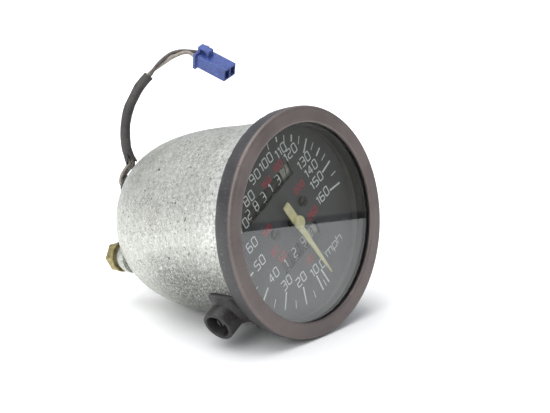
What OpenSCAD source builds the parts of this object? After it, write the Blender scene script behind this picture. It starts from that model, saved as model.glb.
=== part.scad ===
// Mechanical motorcycle speedometer head, driven by a flexible shaft.
// The dial faces -Y, the top of the dial is +Z, and the gauge axis is the Y axis.
// The origin is the centre of the drive neck where it leaves the back of the bowl.

/* [Case] */
// Outside diameter of the bezel ring
bezel_d = 84; // [82:0.5:88]
// Clear opening of the bezel
opening_d = 72; // [70:0.5:73]
// Depth from the bezel's front face to the back of the bowl
case_depth = 76; // [74:0.5:80]
// Outside diameter of the bowl behind the bezel
bowl_d = 74.8; // [74:0.2:75.6]
// Sheet thickness of the bowl
bowl_wall = 0.8; // [0.6:0.1:0.9]

/* [Mounting] */
// Distance between the two studs on the back
stud_spacing = 45; // [42:0.5:46]
// Diameter of the studs
stud_d = 5.9; // [5:0.1:6]
// Outside diameter of the threaded drive neck
neck_d = 12; // [11:0.5:14]
// Length of the drive neck behind the bowl
neck_length = 14; // [12:0.5:18]

/* [Display] */
// Depth from the bezel's front face to the dial
dial_depth = 10; // [9.6:0.1:10.2]
// Length of the needle from its axis to its tip
needle_length = 27; // [22:0.5:29]
// Angle of the needle at rest, counter-clockwise from the right of the dial
needle_rest = -82; // [-90:1:-75]
// Diameter of the number drums
drum_d = 15.6; // [15:0.1:15.8]
// Height of the total odometer's axle above the gauge axis
odo_z = 15.6; // [15.2:0.1:16]
// Height of the trip odometer's axle
trip_z = -11; // [-11.4:0.1:-10.8]
// Distance from one total odometer drum to the next
odo_pitch = 4.95; // [4.9:0.05:5]
// Distance from one trip odometer drum to the next
trip_pitch = 6.1; // [6:0.05:6.1]

/* [Lamp lead] */
// Diameter of the lead's outer sleeve
sleeve_d = 4.2; // [4:0.1:5]
// Diameter of each wire
wire_d = 1.4; // [1.2:0.1:1.5]

/* [Hidden] */
$fn = 64;

front = -case_depth;
dial_y = front + dial_depth;
bezel_r = bezel_d / 2;
open_r = opening_d / 2;
bowl_r = bowl_d / 2;
stud_x = stud_spacing / 2;
stud_r = stud_d / 2;
neck_r = neck_d / 2;

// Bowl: a slightly tapered barrel, then an elliptical shoulder down to a flat back.
barrel_end = -46;
shoulder_r = bowl_r - 1.8;
flat_r = 22;

// Where the front parts stack up, going back from the bezel's face.
lip_y = front + 1;
lens_y = front + 1.5;
lens_back = front + 3.1;
stack_y = front + 3.6;
flange_y = front + 4.4;
crimp_y = front + 7.3;

// Number drums, their axles and the carry pinions behind them.
axle_y = dial_y + 8.8;
drum_r = drum_d / 2;
odo_x = -14.8;
trip_x = -10.3;
pinion_r = 2;
pinion_off = 7;
plate_y = dial_y + 0.8;
plate_back = plate_y + 1.6;

// Gear train from the drive to the drums.
shaft_r = 2.98;
cross_x = 9.95;
cross_y = -15;
lay_x = 18.1;
lay_z = odo_z - 7.65;
idler_z = (odo_z + trip_z) / 2;
gear_x = [12.8, 15.2];
pillar_x = 21.5;
bridge_y = -48.4;

// Lead: the two wires leave the lamp holder, pass through the sleeve and end in the connector.
lamp_z = 16;
LOWER_ROUTE = [[0, 9.5, 16.2], [0.8, 11.2, 17.3], [2.5, 10.8, 19.5], [3.9, 8.3, 21.7], [4.5, 6.6, 22.8]];
SLEEVE_ROUTE = [[5, 5, 24], [7.4, 5.4, 31.4], [13.3, 3.8, 40.4], [20.2, -0.5, 47], [25.8, -4.5, 50.1]];
UPPER_ROUTE = [[25.8, -4.5, 50.1], [30, -7, 51.5], [35, -11, 52.5], [38.6, -14.2, 51.6],
               [40.3, -16.7, 49.9], [40.65, -18.2, 48.6]];
LOWER_SIDE = [0.69, -0.02, -0.49];
UPPER_SIDE = [0.46, 0.52, -0.49];
connector_at = [40.5, -19.1, 47.7];
connector_turn = [-11.5, 27.8, -97.6];

function unit(v) = v / norm(v);
function spline(a, b, c, d, t) =
    0.5 * (2 * b + (c - a) * t + (2 * a - 5 * b + 4 * c - d) * t * t + (3 * b - a - 3 * c + d) * t * t * t);
function at(p, i) = p[max(0, min(len(p) - 1, i))];
function smooth_route(p, n) = concat(
    [for (i = [0 : len(p) - 2]) for (k = [0 : n - 1])
        spline(at(p, i - 1), p[i], p[i + 1], at(p, i + 2), k / n)],
    [p[len(p) - 1]]);
function shifted(p, s) = [for (q = p) q + s];

module tube_along(route, r, sides = 8, ref = [1, 0.3, -0.6]) {
    last = len(route) - 1;
    points = [for (i = [0 : last])
        let (t = unit(at(route, i + 1) - at(route, i - 1)),
             u = unit(cross(t, ref)),
             v = cross(t, u))
        for (k = [0 : sides - 1])
            route[i] + r * (cos(360 * k / sides) * u + sin(360 * k / sides) * v)];
    walls = [for (i = [0 : last - 1]) for (k = [0 : sides - 1])
        [i * sides + k, (i + 1) * sides + k,
         (i + 1) * sides + (k + 1) % sides, i * sides + (k + 1) % sides]];
    start_cap = [[for (k = [0 : sides - 1]) k]];
    end_cap = [[for (k = [sides - 1 : -1 : 0]) last * sides + k]];
    polyhedron(concat(points), concat(start_cap, walls, end_cap), convexity = 4);
}

module ycyl(r, y0, y1) { translate([0, y0, 0]) rotate([-90, 0, 0]) cylinder(r = r, h = y1 - y0); }
module xcyl(r, x0, x1) { translate([x0, 0, 0]) rotate([0, 90, 0]) cylinder(r = r, h = x1 - x0); }
module zcyl(r, z0, z1) { translate([0, 0, z0]) cylinder(r = r, h = z1 - z0); }
module yturn(profile) { rotate([-90, 0, 0]) rotate_extrude() polygon(profile); }
module ytube(ro, ri, y0, y1) {
    difference() {
        ycyl(ro, y0, y1);
        ycyl(ri, y0 - 1, y1 + 1);
    }
}
module box(x, y, z) {
    translate([x[0], y[0], z[0]]) cube([x[1] - x[0], y[1] - y[0], z[1] - z[0]]);
}
module both_sides(x) {
    for (s = [-1, 1]) translate([s * x, 0, 0]) children();
}

// ---- case -------------------------------------------------------------

module bowl_solid(grow) {
    yturn(concat(
        [[0, flange_y], [bowl_r + grow, flange_y], [bowl_r + grow, front + 8.5]],
        [for (a = [0 : 9 : 90]) [flat_r + (shoulder_r - flat_r + grow) * cos(a),
                                 barrel_end + (grow - barrel_end) * sin(a)]],
        [[0, grow]]));
}

module bowl() {
    color("gainsboro") difference() {
        union() {
            bowl_solid(0);
            ytube(40, bowl_r - 0.5, flange_y, flange_y + 0.8);
            ytube(40, 39.2, flange_y, crimp_y);
            both_sides(stud_x) ycyl(5.6, -6, 0.4);
        }
        bowl_solid(-bowl_wall);
        ycyl(bowl_r - bowl_wall, flange_y - 1, front + 8.5);
        both_sides(stud_x) ycyl(4.8, -8, -0.6);
        both_sides(stud_x) ycyl(stud_r + 0.05, -8, 2);
        both_sides(11) ycyl(1.6, -3, 2);
        ycyl(neck_r + 0.5, -3, 2);
        translate([0, 0, lamp_z]) ycyl(5.45, -3, 2);
        translate([0, axle_y, trip_z]) xcyl(4.9, -50, -20);
    }
}

module bezel() {
    color("dimgray") yturn([
        [open_r, lip_y], [open_r, front + 0.3], [open_r + 0.3, front],
        [bezel_r - 1, front], [bezel_r - 0.25, front + 0.35], [bezel_r, front + 1.1],
        [bezel_r - 0.7, crimp_y + 0.3], [bezel_r - 1.3, crimp_y + 0.9], [38.4, crimp_y + 0.9],
        [38.4, crimp_y], [40.2, crimp_y], [40.6, crimp_y - 0.4], [40.6, lip_y]]);
}

module lens() {
    color([0.85, 0.92, 0.95, 0.4]) ycyl(39, lens_y, lens_back);
}

module lens_gasket() {
    color("black") yturn([
        [open_r - 0.1, lip_y], [40.2, lip_y], [40.2, stack_y], [open_r - 0.1, stack_y],
        [open_r - 0.1, lens_back], [39.05, lens_back], [39.05, lens_y], [open_r - 0.1, lens_y]]);
}

module dial_surround() {
    color("gray") yturn([
        [open_r - 0.6, stack_y], [40, stack_y], [40, flange_y], [open_r + 0.2, flange_y],
        [open_r + 0.2, dial_y], [open_r - 0.6, dial_y]]);
}

// ---- dial and the plate behind it --------------------------------------

odo_window = [odo_x - 2.6, odo_x + 5.5 * odo_pitch];
trip_window = [trip_x - 3.1, trip_x + 3.5 * trip_pitch + 0.1];

module dial_plate() {
    color([0.3, 0.3, 0.32]) difference() {
        ycyl(open_r, dial_y, plate_y);
        box(odo_window, [dial_y - 1, plate_y + 1], [odo_z - 2.7, odo_z + 2.7]);
        box(trip_window, [dial_y - 1, plate_y + 1], [trip_z - 2.9, trip_z + 2.9]);
        ycyl(1.6, dial_y - 1, plate_y + 1);
        translate([0, 0, 2]) both_sides(9.6) ycyl(1.1, dial_y - 1, plate_y + 1);
        translate([4.4, 0, -18]) ycyl(0.5, dial_y - 1, plate_y + 1);
    }
}

module dial_screws() {
    color("black") translate([0, 0, 2]) both_sides(9.6) difference() {
        union() {
            ycyl(1.9, dial_y - 1.2, dial_y);
            ycyl(1, dial_y - 0.1, dial_y + 4.4);
        }
        box([-2, 2], [dial_y - 2, dial_y - 0.6], [-0.3, 0.3]);
    }
}

module stop_pin() {
    color("silver") translate([4.4, 0, -18]) ycyl(0.5, dial_y - 4.2, plate_back);
}

module drum_tabs(x0, x1, z0, z1, z_axle, z_rod, axle_bore) {
    for (x = [x0, x1]) difference() {
        box([x, x + 1], [plate_y, axle_y + pinion_off + 2.4], [z0, z1]);
        translate([0, axle_y, z_axle]) xcyl(axle_bore, x - 1, x + 2);
        translate([0, axle_y + pinion_off, z_rod]) xcyl(0.8, x - 1, x + 2);
    }
}

module front_plate() {
    color("goldenrod") difference() {
        union() {
            ycyl(33, plate_y, plate_back);
            drum_tabs(odo_x - 4, 20.6, odo_z - 3.5, odo_z + 9.4, odo_z, odo_z + pinion_off, 1.5);
            drum_tabs(trip_x - 4.9, 16.2, trip_z - 9.4, trip_z + 3.5, trip_z, trip_z - pinion_off, 1.56);
            difference() {
                box([11.2, 12.2], [plate_y, axle_y + 2.2], [idler_z - 2.2, idler_z + 2.2]);
                translate([0, axle_y, idler_z]) xcyl(1.2, 11, 13);
            }
        }
        box([odo_x - 2.8, 20.4], [plate_y - 1, plate_back + 0.01], [odo_z - 4.9, odo_z + 4.9]);
        box([trip_x - 3.4, 15.8], [plate_y - 1, plate_back + 0.01], [trip_z - 4.9, trip_z + 4.9]);
        ycyl(1.6, plate_y - 1, plate_back + 1);
        translate([0, 0, 2]) both_sides(9.6) ycyl(1, plate_y - 1, plate_back + 1);
        both_sides(pillar_x) {
            ycyl(1.15, plate_y - 1, plate_back + 1);
            ycyl(2.3, plate_y - 1, plate_y + 0.7);
        }
        translate([lay_x, 0, lay_z]) ycyl(1.26, plate_y - 1, plate_back + 1);
        translate([4.4, 0, -18]) ycyl(0.5, plate_y - 1, plate_back + 1);
    }
}

module movement_screws() {
    color("silver") both_sides(pillar_x) difference() {
        union() {
            ycyl(2.25, plate_y + 0.05, plate_y + 0.7);
            ycyl(1.1, plate_y + 0.6, plate_back + 6);
        }
        box([-3, 3], [plate_y - 1, plate_y + 0.35], [-0.3, 0.3]);
    }
}

// ---- frame -------------------------------------------------------------

module frame_casting() {
    color("darkgray") difference() {
        union() {
            ycyl(25.2, -6, -3);
            ycyl(13.5, -6, -bowl_wall);
            ycyl(neck_r + 0.45, -bowl_wall - 1, 0);
            ycyl(neck_r, -bowl_wall - 1, neck_length);
            ycyl(7, -8, -5);
            for (z = [-19, 19]) box([cross_x - 2.5, cross_x + 2.5], [-17.6, -5], [z - 1.5, z + 1.5]);
        }
        ycyl(4.2, -9, neck_length + 1);
        both_sides(11) ycyl(1.45, -5.8, 0);
        both_sides(pillar_x) ycyl(1.75, -7, -3.4);
        translate([0, 0, lamp_z]) ycyl(6.2, -7, 1);
        translate([cross_x, cross_y, 0]) zcyl(1.26, -22, 22);
        translate([lay_x, 0, lay_z]) ycyl(1.26, -7, -3.5);
    }
}

module pillars() {
    color("silver") both_sides(pillar_x) difference() {
        union() {
            ycyl(1.75, -6.1, -3.6);
            ycyl(2.6, bridge_y + 1.2, -6);
            ycyl(2, plate_back, bridge_y + 1.3);
        }
        ycyl(1.1, plate_back - 1, plate_back + 7);
    }
}

module case_screws() {
    color("silver") both_sides(11) difference() {
        union() {
            ycyl(2.8, 0, 1.8);
            ycyl(1.42, -5.2, 0.1);
        }
        box([-4, 4], [0.9, 3], [-0.4, 0.4]);
    }
}

module drive_bush() {
    color("peru") ytube(4.2, 3.03, -8, neck_length - 0.4);
}

module studs() {
    color("silver") both_sides(stud_x) {
        ycyl(4.4, -2.2, -0.6);
        ycyl(stud_r, -0.7, 7.4);
        ycyl(4.6, 0.4, 2.4);
    }
}

module stud_washers() {
    color("darkkhaki") both_sides(stud_x) ytube(6, stud_r + 0.15, 2.4, 3.6);
}

module stud_nuts() {
    color("darkkhaki") both_sides(stud_x) difference() {
        translate([0, 3.6, 0]) rotate([-90, 30, 0]) cylinder(r = 5.77, h = 3.2, $fn = 6);
        ycyl(stud_r + 0.02, 3, 8);
    }
}

// ---- dial lamp and its lead ---------------------------------------------

module lamp_holder() {
    color([0.12, 0.12, 0.12]) translate([0, 0, lamp_z]) yturn([
        [3.9, -2.4], [5.4, -2.4], [5.4, 0], [6.9, 0], [6.9, 1.4], [5.6, 1.6], [5, 6.5],
        [3.4, 9], [0, 9], [0, 5], [3.9, 5]]);
}

module lamp_bulb() {
    color("lightyellow") translate([0, 0, lamp_z]) yturn([
        [0, -18], [1.6, -17.4], [2.8, -15.8], [3.2, -13.6], [2.9, -10], [2.9, -8], [3.8, -7.6],
        [3.8, 4.4], [1.2, 4.6], [0, 5]]);
}

module lead_sleeve() {
    color([0.2, 0.18, 0.18]) tube_along(smooth_route(SLEEVE_ROUTE, 3), sleeve_d / 2, 12);
}

module wire(side) {
    tube_along(smooth_route(shifted(LOWER_ROUTE, side * LOWER_SIDE), 2), wire_d / 2);
    tube_along(smooth_route(shifted(UPPER_ROUTE, side * UPPER_SIDE + [0.2, -0.1, 0.1]), 2), wire_d / 2);
}

module wire_a() { color("dimgray") wire(1); }
module wire_b() { color("tan") wire(-1); }

module connector_shell() {
    color("slateblue") translate(connector_at) rotate(connector_turn) difference() {
        union() {
            box([0, 15], [-3.3, 3.3], [-2.6, 2.6]);
            box([0, 1.2], [-4.1, 4.1], [-3.4, 3.4]);
            box([0, 1.2], [-1.5, 1.5], [3.3, 5.4]);
            box([4.2, 5.4], [-1.5, 1.5], [2.5, 5.4]);
            box([0, 5.4], [-1.5, 1.5], [4.5, 5.4]);
        }
        for (s = [-1, 1]) {
            translate([0, s * 1.6, 0]) box([3.5, 16], [-1.2, 1.2], [-1.8, 1.8]);
            translate([0, s * 1.6, 0]) xcyl(0.9, -1, 4);
        }
    }
}

module connector_terminals() {
    color("khaki") translate(connector_at) rotate(connector_turn) {
        for (s = [-1, 1]) translate([0, s * 1.6, 0]) {
            xcyl(0.85, 0.3, 3.6);
            box([3.5, 12.5], [-0.9, 0.9], [-0.4, 0.4]);
        }
    }
}

// ---- trip reset ----------------------------------------------------------

module reset_guide() {
    color([0.12, 0.12, 0.12]) difference() {
        union() {
            intersection() {
                yturn([[30, front + 8.8], [bowl_r + 1.5, front + 8.8], [bowl_r, -48], [30, -48]]);
                box([-50, -20], [front + 8, -40], [trip_z - 11, trip_z + 9]);
            }
            translate([0, axle_y, trip_z]) xcyl(6, -45, -30);
        }
        bowl_solid(0.05);
        translate([0, axle_y, trip_z]) xcyl(4.35, -46, -39.5);
        translate([0, axle_y, trip_z]) xcyl(1.58, -46, -20);
    }
    color([0.12, 0.12, 0.12]) intersection() {
        translate([0, axle_y, trip_z]) difference() {
            xcyl(4.85, -38, -33);
            xcyl(1.58, -46, -20);
        }
        bowl_solid(0.05);
    }
}

module reset_spindle() {
    color("silver") translate([0, axle_y, trip_z]) difference() {
        xcyl(1.5, -43, 17.8);
        box([-44, -41.5], [-0.4, 0.4], [-2, 2]);
    }
}

// ---- number drums --------------------------------------------------------

module drum_at(x, z, width, fill) {
    color(fill) translate([x, axle_y, z]) difference() {
        union() {
            xcyl(drum_r, -width / 2, width / 2);
            children();
        }
        xcyl(1.55, -10, 20);
    }
}

module toothed(r, root, teeth, x0, x1) {
    xcyl(root, x0 - 0.2, x1 + 0.2);
    for (k = [0 : teeth - 1]) rotate([360 * k / teeth, 0, 0])
        box([x0, x1], [-1.4 * r / teeth, 1.4 * r / teeth], [root - 0.5, r]);
}

function odo_at(i) = odo_x + (i - 1) * odo_pitch;
function trip_at(i) = trip_x + (i - 1) * trip_pitch;

module odo_drum(i) { drum_at(odo_at(i), odo_z, odo_pitch - 0.2, "black"); }
module trip_drum(i) { drum_at(trip_at(i), trip_z, trip_pitch - 0.3, "black"); }

// The last drum of each row is moulded with the gear that drives it.
module odo_drum_6_geared() {
    drum_at(odo_at(6), odo_z, odo_pitch - 0.2, "white") translate([-odo_at(6), 0, 0]) {
        xcyl(3.6, odo_at(6), lay_x);
        toothed(7, 5.8, 20, gear_x[0], gear_x[1]);
        toothed(5, 4.3, 10, lay_x - 1.5, lay_x + 1.5);
    }
}

module trip_drum_4_geared() {
    drum_at(trip_at(4), trip_z, trip_pitch - 0.3, "white") translate([-trip_at(4), 0, 0]) {
        xcyl(3.6, trip_at(4), gear_x[0] + 0.4);
        toothed(7, 5.8, 20, gear_x[0], gear_x[1]);
    }
}

module carry_pinion(x, z) {
    color("ivory") translate([x, axle_y + pinion_off, z]) difference() {
        toothed(pinion_r, 1.4, 8, -1.5, 1.5);
        xcyl(0.8, -3, 3);
    }
}

module odo_pinion(i) { carry_pinion(odo_x + (i - 0.5) * odo_pitch, odo_z + pinion_off); }
module trip_pinion(i) { carry_pinion(trip_x + (i - 0.5) * trip_pitch, trip_z - pinion_off); }

module odo_axle() {
    color("silver") translate([0, axle_y, odo_z]) xcyl(1.5, odo_x - 4.2, 21.8);
}

module pinion_rod(x0, x1, z) {
    color("silver") translate([0, axle_y + pinion_off, z]) {
        xcyl(0.72, x0, x1);
        xcyl(0.8, x0, x0 + 1);
        xcyl(0.8, x1 - 1, x1);
    }
}

module odo_pinion_rod() { pinion_rod(odo_x - 4, 21.6, odo_z + pinion_off); }
module trip_pinion_rod() { pinion_rod(trip_x - 4.9, 17.2, trip_z - pinion_off); }

module trip_idler() {
    color("ivory") translate([0, axle_y, idler_z]) difference() {
        toothed(6.15, 5, 18, gear_x[0], gear_x[1]);
        xcyl(1.25, 10, 17);
    }
}

module idler_pin() {
    color("silver") translate([0, axle_y, idler_z]) {
        xcyl(1.2, 11.2, 15.9);
        xcyl(1.8, 15.7, 16.1);
    }
}

// ---- movement --------------------------------------------------------------

module worm_rings(r, y0, y1) {
    for (y = [y0 : 1.6 : y1 - 0.8]) ycyl(r, y, y + 0.8);
}

module input_shaft() {
    color("silver") difference() {
        union() {
            ycyl(shaft_r, -19.2, neck_length - 1.4);
            ycyl(4.5, -9.9, -8.1);
            worm_rings(3.8, -19, -11);
            ycyl(2, -41, -19);
        }
        box([-1.38, 1.38], [-2, neck_length], [-1.38, 1.38]);
        ycyl(0.85, -42, -38.2);
    }
}

module magnet() {
    color([0.25, 0.25, 0.27]) ytube(11.5, 2.02, -41, -36);
}

module cross_shaft() {
    color("silver") translate([cross_x, cross_y, 0]) {
        zcyl(1.2, -20.2, 20.2);
        zcyl(2.6, lay_z - 3, lay_z + 3);
        for (k = [-1 : 1]) zcyl(3, lay_z + 2 * k - 0.4, lay_z + 2 * k + 0.4);
    }
    color("ivory") translate([cross_x, cross_y, 0]) rotate([0, -90, 0]) toothed(6, 5, 16, -1.5, 1.5);
}

module layshaft() {
    color("silver") translate([lay_x, 0, lay_z]) {
        ycyl(1.2, plate_y + 0.2, -3.8);
        ycyl(2.1, axle_y - 3, axle_y + 3);
        for (k = [-1 : 1]) ycyl(2.5, axle_y + 2 * k - 0.4, axle_y + 2 * k + 0.4);
    }
    color("ivory") translate([lay_x, cross_y, lay_z]) rotate([0, 0, 90]) toothed(5, 4.2, 14, -1.5, 1.5);
}

module spindle_bridge() {
    color("goldenrod") difference() {
        box([-24.6, 24.6], [bridge_y, bridge_y + 1.2], [-3.2, 3.2]);
        ycyl(0.83, bridge_y - 1, bridge_y + 2);
        both_sides(pillar_x) ycyl(2.02, bridge_y - 1, bridge_y + 2);
    }
}

spring_turns = 3;
function spiral(r, a) = [r * cos(a), r * sin(a)];
module hairspring() {
    steps = spring_turns * 12;
    inner = [for (k = [0 : steps]) spiral(1.9 + 4.6 * k / steps, 30 * k)];
    outer = [for (k = [steps : -1 : 0]) spiral(2.05 + 4.6 * k / steps, 30 * k)];
    color("peru") {
        translate([0, bridge_y + 2.2, 0]) rotate([-90, 0, 0])
            linear_extrude(0.6) polygon(concat(inner, outer));
        box([6.4, 7.4], [bridge_y + 1.2, bridge_y + 2.9], [-0.6, 0.6]);
    }
}

module speed_cup() {
    color("lightgray") yturn([
        [0.75, -43.6], [13.2, -43.6], [13.2, -35], [12.6, -35], [12.6, -43], [0.75, -43]]);
}

module needle_spindle() {
    color("silver") {
        ycyl(0.75, dial_y - 4.4, -38.4);
        ycyl(1.7, -46.1, -45.3);
    }
}

module needle() {
    color("khaki") rotate([0, -needle_rest, 0]) difference() {
        union() {
            rotate([-90, 0, 0]) translate([0, 0, dial_y - 3.8]) linear_extrude(0.8)
                polygon([[-9, -1.9], [0, -2], [needle_length - 7, -0.95], [needle_length, -0.35],
                         [needle_length, 0.35], [needle_length - 7, 0.95], [0, 2], [-9, 1.9]]);
            ycyl(2.6, dial_y - 3.8, dial_y - 2.2);
        }
        ycyl(0.75, dial_y - 5, dial_y);
    }
}

module needle_cap() {
    color("khaki") yturn([
        [0, dial_y - 5.4], [1.6, dial_y - 5.4], [2.2, dial_y - 5.1], [2.5, dial_y - 4.6],
        [2.5, dial_y - 3.8], [0.8, dial_y - 3.8], [0.8, dial_y - 4.5], [0, dial_y - 4.5]]);
}

bowl();
bezel();
lens();
lens_gasket();
dial_surround();
dial_plate();
dial_screws();
stop_pin();
front_plate();
frame_casting();
pillars();
movement_screws();
case_screws();
drive_bush();
studs();
stud_washers();
stud_nuts();
lamp_holder();
lamp_bulb();
lead_sleeve();
wire_a();
wire_b();
connector_shell();
connector_terminals();
reset_guide();
reset_spindle();
odo_axle();
odo_pinion_rod();
trip_pinion_rod();
spindle_bridge();
hairspring();
needle();
needle_cap();
needle_spindle();
speed_cup();
input_shaft();
magnet();
cross_shaft();
layshaft();
trip_idler();
idler_pin();
odo_drum(1);  // odo_drum_1
odo_drum(2);  // odo_drum_2
odo_drum(3);  // odo_drum_3
odo_drum(4);  // odo_drum_4
odo_drum(5);  // odo_drum_5
odo_drum_6_geared();  // odo_drum_6
trip_drum(1);  // trip_drum_1
trip_drum(2);  // trip_drum_2
trip_drum(3);  // trip_drum_3
trip_drum_4_geared();  // trip_drum_4
odo_pinion(1);  // odo_pinion_1
odo_pinion(2);  // odo_pinion_2
odo_pinion(3);  // odo_pinion_3
odo_pinion(4);  // odo_pinion_4
odo_pinion(5);  // odo_pinion_5
trip_pinion(1);  // trip_pinion_1
trip_pinion(2);  // trip_pinion_2
trip_pinion(3);  // trip_pinion_3
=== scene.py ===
import math

import bmesh
import bpy
from mathutils import Matrix, Vector, noise


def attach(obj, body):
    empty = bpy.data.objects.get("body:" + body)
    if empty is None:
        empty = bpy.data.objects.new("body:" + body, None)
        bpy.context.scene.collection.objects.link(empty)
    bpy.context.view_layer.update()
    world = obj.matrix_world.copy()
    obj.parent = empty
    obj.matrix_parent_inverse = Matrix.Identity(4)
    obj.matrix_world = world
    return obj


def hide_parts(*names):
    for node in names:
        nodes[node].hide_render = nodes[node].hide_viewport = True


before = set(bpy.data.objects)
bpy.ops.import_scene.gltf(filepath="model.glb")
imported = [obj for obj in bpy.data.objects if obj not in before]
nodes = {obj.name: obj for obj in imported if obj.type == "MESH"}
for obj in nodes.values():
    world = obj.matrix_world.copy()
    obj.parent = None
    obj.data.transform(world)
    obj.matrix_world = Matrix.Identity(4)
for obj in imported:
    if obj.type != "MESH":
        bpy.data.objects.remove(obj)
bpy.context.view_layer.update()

MM = 0.001

# Sizes in millimetres. Axles, pitches, the bowl's wall and the wires are as in the CAD source.
DIAL_Y = -66.0
AXLE_Y = -57.2
DRUM_R = 7.8
ODO_X, ODO_Z, ODO_PITCH = -14.8, 15.6, 4.95
TRIP_X, TRIP_Z, TRIP_PITCH = -10.3, -11.0, 6.1
BOWL_R, BOWL_SIDE_Y = 37.3, -63
BOWL_WALL = 0.8
NECK_HOLE_R = 6.5
LAMP_Z, LAMP_HOLE_R = 16, 5.45
STUD_X, STUD_HOLE_R = 22.5, 3.0
CASE_SCREW_X, CASE_SCREW_HOLE_R = 11, 1.6
RESET_TUBE_R, RESET_HOLE_R = 6.0, 4.9
SLEEVE_R, SLEEVE_WALL = 2.1, 0.35
WIRE_D = 1.4

# Angles in degrees: the needle at rest, and the bend from which an edge stays sharp.
NEEDLE_REST = -82.0
SMOOTH_ANGLE = 40

# The camera: where it looks, from which side, from how far and with what focal length.
AIM = Vector((-2.9, -66.6, 9.7))
CAMERA_TURN = (-41.1, 28.8, 28.0)
CAMERA_DISTANCE = 537
CAMERA_LENS = 98.2


# ---- camera ---------------------------------------------------------------------

def link(obj):
    bpy.context.scene.collection.objects.link(obj)
    return obj


def camera_axes(azimuth, elevation, roll):
    """Right, up and back of a camera that looks at the object, rolled clockwise."""
    a, e, r = (math.radians(v) for v in (azimuth, elevation, roll))
    back = Vector((math.sin(a) * math.cos(e), -math.cos(a) * math.cos(e), math.sin(e)))
    level = Vector((math.cos(a), math.sin(a), 0))
    upright = back.cross(level)
    right = level * math.cos(r) - upright * math.sin(r)
    up = level * math.sin(r) + upright * math.cos(r)
    return right, up, back


RIGHT, UP, BACK = camera_axes(*CAMERA_TURN)


def make_camera():
    data = bpy.data.cameras.new("camera")
    data.sensor_width = 36
    data.lens = CAMERA_LENS
    camera = link(bpy.data.objects.new("camera", data))
    rotation = Matrix((RIGHT, UP, BACK)).transposed().to_4x4()
    camera.matrix_world = Matrix.Translation((AIM + BACK * CAMERA_DISTANCE) * MM) @ rotation
    bpy.context.scene.camera = camera


make_camera()

# ---- lead's route ---------------------------------------------------------------

# Point for point as in the CAD source.
LOWER_ROUTE = [(0, 9.5, 16.2), (0.8, 11.2, 17.3), (2.5, 10.8, 19.5), (3.9, 8.3, 21.7), (4.5, 6.6, 22.8)]
SLEEVE_ROUTE = [(5, 5, 24), (7.4, 5.4, 31.4), (13.3, 3.8, 40.4), (20.2, -0.5, 47), (25.8, -4.5, 50.1)]
UPPER_ROUTE = [(25.8, -4.5, 50.1), (30, -7, 51.5), (35, -11, 52.5), (38.6, -14.2, 51.6),
               (40.3, -16.7, 49.9), (40.65, -18.2, 48.6)]
LOWER_SIDE = Vector((0.69, -0.02, -0.49))
CONNECTOR_AT = Vector((40.5, -19.1, 47.7))
CONNECTOR_AXIS = Vector((-0.117, -0.8768, -0.4664))
CONNECTOR_SIDE = Vector((0.9836, -0.0375, -0.1764))
HOLE_OFFSET = 1.6
WIRE_START = Vector((0, -1.2, -0.6))
WIRE_DEPTH = 0.6

# The pair's twist, and where each change begins and how much it takes, in shares of the length.
TWIST_R, TWIST_FROM, TWIST_BY = 0.74, 20, 250
SETTLING, TWISTING, PARTING = (0.12, 0.2), (0.55, 0.4), (0.84, 0.16)
ROUTE_STEPS = 2

# The sleeve: its points, the share that is torn open, and how wide.
SLEEVE_STEPS, SLEEVE_SIDES = 16, 28
TORN_SHARE, TORN_ANGLE = 0.16, 120


def smooth_route(points, steps):
    """A Catmull-Rom curve through the points."""
    points = [Vector(p) for p in points]
    last = len(points) - 1
    route = []
    for i in range(last):
        a, b = points[max(i - 1, 0)], points[i]
        c, d = points[i + 1], points[min(i + 2, last)]
        for k in range(steps):
            t = k / steps
            route.append(0.5 * (2 * b + (c - a) * t + (2 * a - 5 * b + 4 * c - d) * t * t
                                + (3 * b - a - 3 * c + d) * t ** 3))
    return route + [points[last]]


def frames_along(route, towards):
    """A unit side and a unit front at each point, the front as near to towards as it can be."""
    found = []
    for i in range(len(route)):
        tangent = (route[min(i + 1, len(route) - 1)] - route[max(i - 1, 0)]).normalized()
        front = (towards - tangent * tangent.dot(towards)).normalized()
        found.append((tangent.cross(front), front))
    return found


def ease(t):
    """A smooth step from 0 to 1."""
    t = max(0.0, min(1.0, t))
    return t * t * (3 - 2 * t)


def change(t, begins, takes):
    return ease((t - begins) / takes)


def wire_route(side):
    """One wire of the pair: level at the lamp, lightly twisted on the way, then into its own hole."""
    whole = smooth_route(LOWER_ROUTE + SLEEVE_ROUTE + UPPER_ROUTE[1:], ROUTE_STEPS)
    sides = frames_along(whole, BACK)
    route = []
    for i, point in enumerate(whole):
        t = i / (len(whole) - 1)
        turn = math.radians(TWIST_FROM + TWIST_BY * change(t, *TWISTING))
        across, front = sides[i]
        twisted = (across * math.cos(turn) + front * math.sin(turn)) * TWIST_R
        offset = LOWER_SIDE.lerp(twisted, change(t, *SETTLING))
        offset = offset.lerp(CONNECTOR_SIDE * HOLE_OFFSET, change(t, *PARTING))
        route.append(point + side * offset)
    start = route[0] + WIRE_START
    end = CONNECTOR_AT + CONNECTOR_SIDE * HOLE_OFFSET * side + CONNECTOR_AXIS * WIRE_DEPTH
    return [start] + route + [end]


def make_wire(name, side):
    """A round wire along its route; also gives its exit point and its length in metres."""
    curve = bpy.data.curves.new(name, "CURVE")
    curve.dimensions = "3D"
    curve.bevel_depth = WIRE_D / 2 * MM
    curve.bevel_resolution = 5
    curve.resolution_u = 6
    curve.use_fill_caps = True
    route = [p * MM for p in wire_route(side)]
    spline = curve.splines.new("BEZIER")
    spline.bezier_points.add(len(route) - 1)
    for bezier, point in zip(spline.bezier_points, route):
        bezier.co = point
        bezier.handle_left_type = bezier.handle_right_type = "AUTO"
    length = sum((b - a).length for a, b in zip(route, route[1:]))
    return link(bpy.data.objects.new(name, curve)), tuple(route[0]), length


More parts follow.
